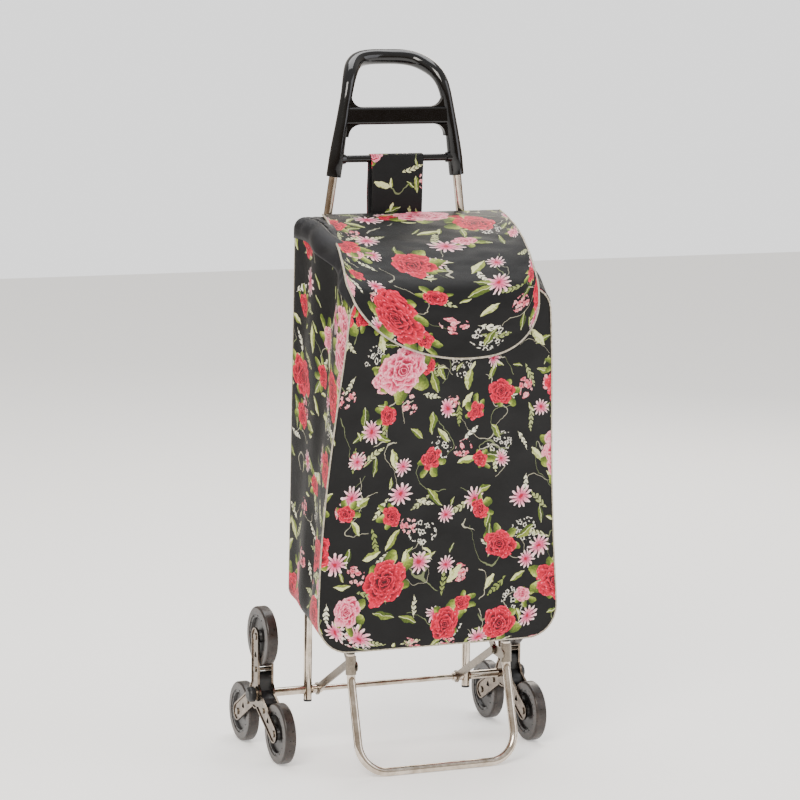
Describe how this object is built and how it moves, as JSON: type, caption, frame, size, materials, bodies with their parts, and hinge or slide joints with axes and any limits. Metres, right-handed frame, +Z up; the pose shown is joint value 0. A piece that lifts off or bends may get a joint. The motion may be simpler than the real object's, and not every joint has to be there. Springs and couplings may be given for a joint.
{
  "type": "shopping trolley",
  "caption": "Folding two-post shopping trolley with three-wheel stair-climbing stars, fold-out stand and a tall fabric bag under a lifting flap.",
  "frame": {"origin": "on the floor under the middle of the trolley's box", "axes": "+Z up, +Y to the rear where the user stands, +X to the right seen from the front; the bag's printed front faces -Y"},
  "size_m": [0.4354, 0.3316, 1.0001],
  "materials": {
    "chrome_tube": "bright chrome-plated steel tube",
    "zinc_steel": "bright zinc-plated steel",
    "pressed_steel": "nickel-chrome plated pressed sheet with a warm tone",
    "gloss_black": "high-gloss black moulding",
    "black_plastic": "satin black moulding",
    "hub_plastic": "satin black wheel centre",
    "tyre_rubber": "grey-brown rubber",
    "printed_fabric": "black woven polyester printed with roses, daisies and leaves",
    "lining_fabric": "plain black lining",
    "board_plastic": "black polypropylene sheet"
  },
  "bodies": {
    "frame": {"upright_left": "chrome_tube", "upright_right": "chrome_tube", "crossbar_lower": "chrome_tube", "crossbar_upper": "chrome_tube", "post_plugs": "black_plastic", "axle": "chrome_tube", "axle_sleeves": "chrome_tube", "axle_caps": "black_plastic", "hinge_bracket_left": "zinc_steel", "hinge_bracket_right": "zinc_steel", "hinge_pins": "zinc_steel", "handle": "gloss_black", "handle_rod": "gloss_black", "strap": "printed_fabric", "post_loops": "printed_fabric", "bag_front": "printed_fabric", "bag_back": "printed_fabric", "bag_side_left": "printed_fabric", "bag_side_right": "printed_fabric", "bag_bottom": "printed_fabric", "bottom_board": "board_plastic", "bag_collar": "lining_fabric"},
    "platform": {"platform_rail": "chrome_tube", "platform_wires": "zinc_steel", "platform_pins": "zinc_steel"},
    "stand": {"stand_tube": "chrome_tube", "stand_bracket_left": "zinc_steel", "stand_bracket_right": "zinc_steel", "stand_rivets": "zinc_steel", "stand_plugs": "black_plastic"},
    "braces": {"brace_left": "zinc_steel", "brace_right": "zinc_steel", "brace_rivets": "zinc_steel"},
    "flap": {"flap": "printed_fabric"},
    "star_left": {"star_core_left": "black_plastic", "star_bush_left": "zinc_steel", "star_plate_outer_left": "pressed_steel", "star_plate_inner_left": "pressed_steel", "star_pins_left": "zinc_steel"},
    "wheel_left_top": {"tyre_left_top": "tyre_rubber", "hub_left_top": "hub_plastic"},
    "wheel_left_front": {"tyre_left_front": "tyre_rubber", "hub_left_front": "hub_plastic"},
    "wheel_left_rear": {"tyre_left_rear": "tyre_rubber", "hub_left_rear": "hub_plastic"},
    "star_right": {"star_core_right": "black_plastic", "star_bush_right": "zinc_steel", "star_plate_outer_right": "pressed_steel", "star_plate_inner_right": "pressed_steel", "star_pins_right": "zinc_steel"},
    "wheel_right_top": {"tyre_right_top": "tyre_rubber", "hub_right_top": "hub_plastic"},
    "wheel_right_front": {"tyre_right_front": "tyre_rubber", "hub_right_front": "hub_plastic"},
    "wheel_right_rear": {"tyre_right_rear": "tyre_rubber", "hub_right_rear": "hub_plastic"}
  },
  "joints": [
    {"name": "platform_fold", "type": "hinge", "parent": "frame", "child": "platform", "pos_m": [0, 0.01615, 0.2067], "axis": [-1, 0, 0], "range_deg": [0, 104.68], "deforming": ["bag_front", "bag_side_left", "bag_side_right", "bag_bottom", "bottom_board", "bag_collar"]},
    {"name": "stand_fold", "type": "hinge", "parent": "platform", "child": "stand", "pos_m": [0, -0.03706, 0.19277], "axis": [1, 0, 0], "range_deg": [0, 119.68]},
    {"name": "brace_fold", "type": "hinge", "parent": "frame", "child": "braces", "pos_m": [0, 0.05015, 0.085], "axis": [-1, 0, 0], "range_deg": [0, 37]},
    {"name": "flap_lift", "type": "hinge", "parent": "frame", "child": "flap", "pos_m": [0, 0.03415, 0.771], "axis": [-1, 0, 0], "range_deg": [0, 95]},
    {"name": "star_spin_left", "type": "hinge", "parent": "frame", "child": "star_left", "pos_m": [-0.1947, 0.05015, 0.085], "axis": [1, 0, 0], "continuous": true},
    {"name": "wheel_spin_left_top", "type": "hinge", "parent": "star_left", "child": "wheel_left_top", "pos_m": [-0.1947, 0.05015, 0.1688], "axis": [1, 0, 0], "continuous": true},
    {"name": "wheel_spin_left_front", "type": "hinge", "parent": "star_left", "child": "wheel_left_front", "pos_m": [-0.1947, -0.02242, 0.0431], "axis": [1, 0, 0], "continuous": true},
    {"name": "wheel_spin_left_rear", "type": "hinge", "parent": "star_left", "child": "wheel_left_rear", "pos_m": [-0.1947, 0.12272, 0.0431], "axis": [1, 0, 0], "continuous": true},
    {"name": "star_spin_right", "type": "hinge", "parent": "frame", "child": "star_right", "pos_m": [0.1947, 0.05015, 0.085], "axis": [1, 0, 0], "continuous": true},
    {"name": "wheel_spin_right_top", "type": "hinge", "parent": "star_right", "child": "wheel_right_top", "pos_m": [0.1947, 0.05015, 0.1688], "axis": [1, 0, 0], "continuous": true},
    {"name": "wheel_spin_right_front", "type": "hinge", "parent": "star_right", "child": "wheel_right_front", "pos_m": [0.1947, -0.02242, 0.0431], "axis": [1, 0, 0], "continuous": true},
    {"name": "wheel_spin_right_rear", "type": "hinge", "parent": "star_right", "child": "wheel_right_rear", "pos_m": [0.1947, 0.12272, 0.0431], "axis": [1, 0, 0], "continuous": true}
  ],
  "couplings": [
    {"joint": "stand_fold", "follows": "platform_fold", "ratio": 1.1414},
    {"joint": "brace_fold", "follows": "platform_fold", "ratio": 0.35155}
  ]
}
